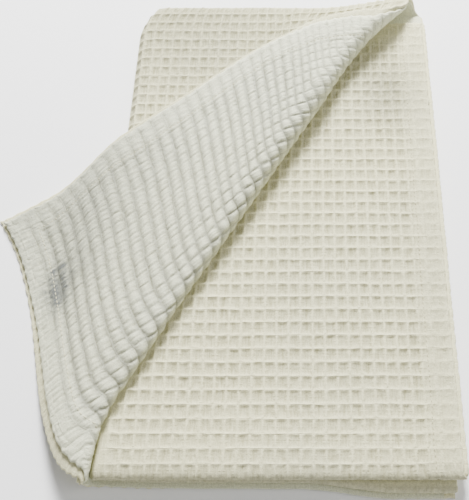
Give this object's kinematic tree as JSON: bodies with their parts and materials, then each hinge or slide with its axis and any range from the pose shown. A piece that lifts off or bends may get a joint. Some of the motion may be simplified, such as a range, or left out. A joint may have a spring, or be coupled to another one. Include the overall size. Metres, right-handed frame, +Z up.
{
  "type": "waffle weave cotton blanket",
  "caption": "Folded waffle weave cotton blanket with a near corner of its top layers turned back over the side and lying on the surface.",
  "frame": {"origin": "middle of the folded stack's flat underside, on the surface it rests on", "axes": "+X to the right across the stack, +Y away along its length, +Z up"},
  "size_m": [0.3495, 0.4083, 0.0424],
  "materials": {
    "cotton": "matte cream cotton in a raised waffle weave"
  },
  "bodies": {
    "root": {"blanket": "cotton"}
  },
  "joints": []
}
